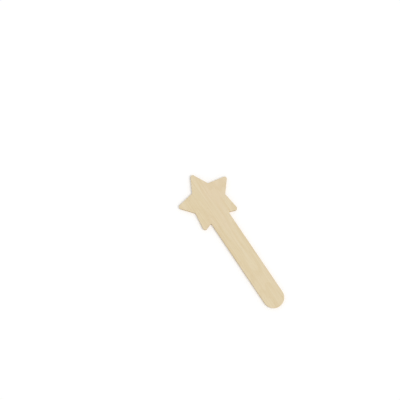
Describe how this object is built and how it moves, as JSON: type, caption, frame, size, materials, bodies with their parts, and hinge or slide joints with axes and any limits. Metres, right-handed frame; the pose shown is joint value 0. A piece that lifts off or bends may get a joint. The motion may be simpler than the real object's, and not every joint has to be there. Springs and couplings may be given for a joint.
{
  "type": "toy magic wand",
  "caption": "Flat, plain wooden wand: a star head on a straight round-ended stick, cut as one outline from cross-laminated veneer, for pretend play and decorating.",
  "frame": {"origin": "middle of the wand's length and width, on its flat back face", "axes": "+Y along the stick towards the top point of the star, +Z out of the front face, +X across the stick"},
  "size_m": [0.054, 0.15, 0.003],
  "materials": {
    "face_veneer": "sanded, bare",
    "core_veneer": "cut edge, bare",
    "glue_line": "cured resin, cut edge"
  },
  "bodies": {
    "root": {"back_veneer": "face_veneer", "back_glue_line": "glue_line", "core_veneer": "core_veneer", "front_glue_line": "glue_line", "front_veneer": "face_veneer"}
  },
  "joints": []
}
